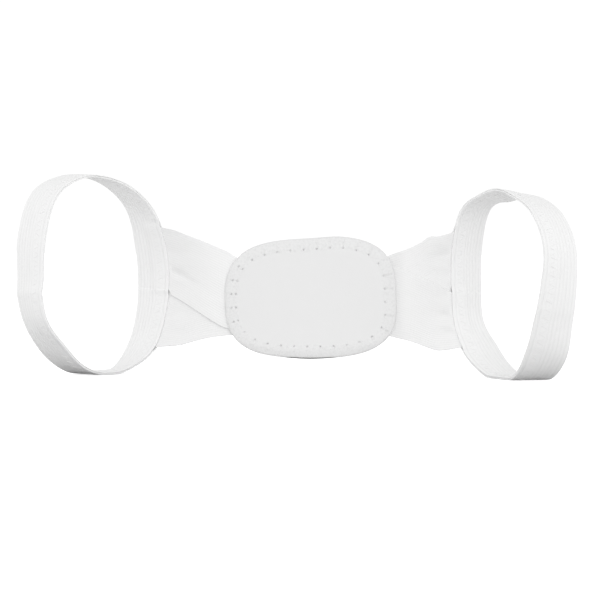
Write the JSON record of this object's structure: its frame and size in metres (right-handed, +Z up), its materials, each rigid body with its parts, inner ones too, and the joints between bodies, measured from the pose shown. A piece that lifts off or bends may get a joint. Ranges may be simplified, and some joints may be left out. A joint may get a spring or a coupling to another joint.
{
  "type": "posture corrector",
  "caption": "Elastic posture corrector: arm loops of ribbed folded webbing joined by wide elastic bands that cross behind a smooth rounded back pad.",
  "frame": {"origin": "middle of the bottom of the whole part's box, on the surface that it stands on", "axes": "+Z up, +X from the left arm loop to the right one as seen from the front, the pad's front faces -Y"},
  "size_m": [0.4324, 0.1282, 0.1595],
  "materials": {
    "pad_cover": "smooth white coated cloth, matte to satin",
    "band_elastic": "woven white elastic with fine ribs, matte",
    "loop_webbing": "ribbed white elastic webbing folded double, matte"
  },
  "bodies": {
    "root": {"pad_front": "pad_cover", "pad_back": "pad_cover", "cross_band_front": "band_elastic", "cross_band_back": "band_elastic", "arm_loop_left": "loop_webbing", "arm_loop_right": "loop_webbing"}
  },
  "joints": []
}
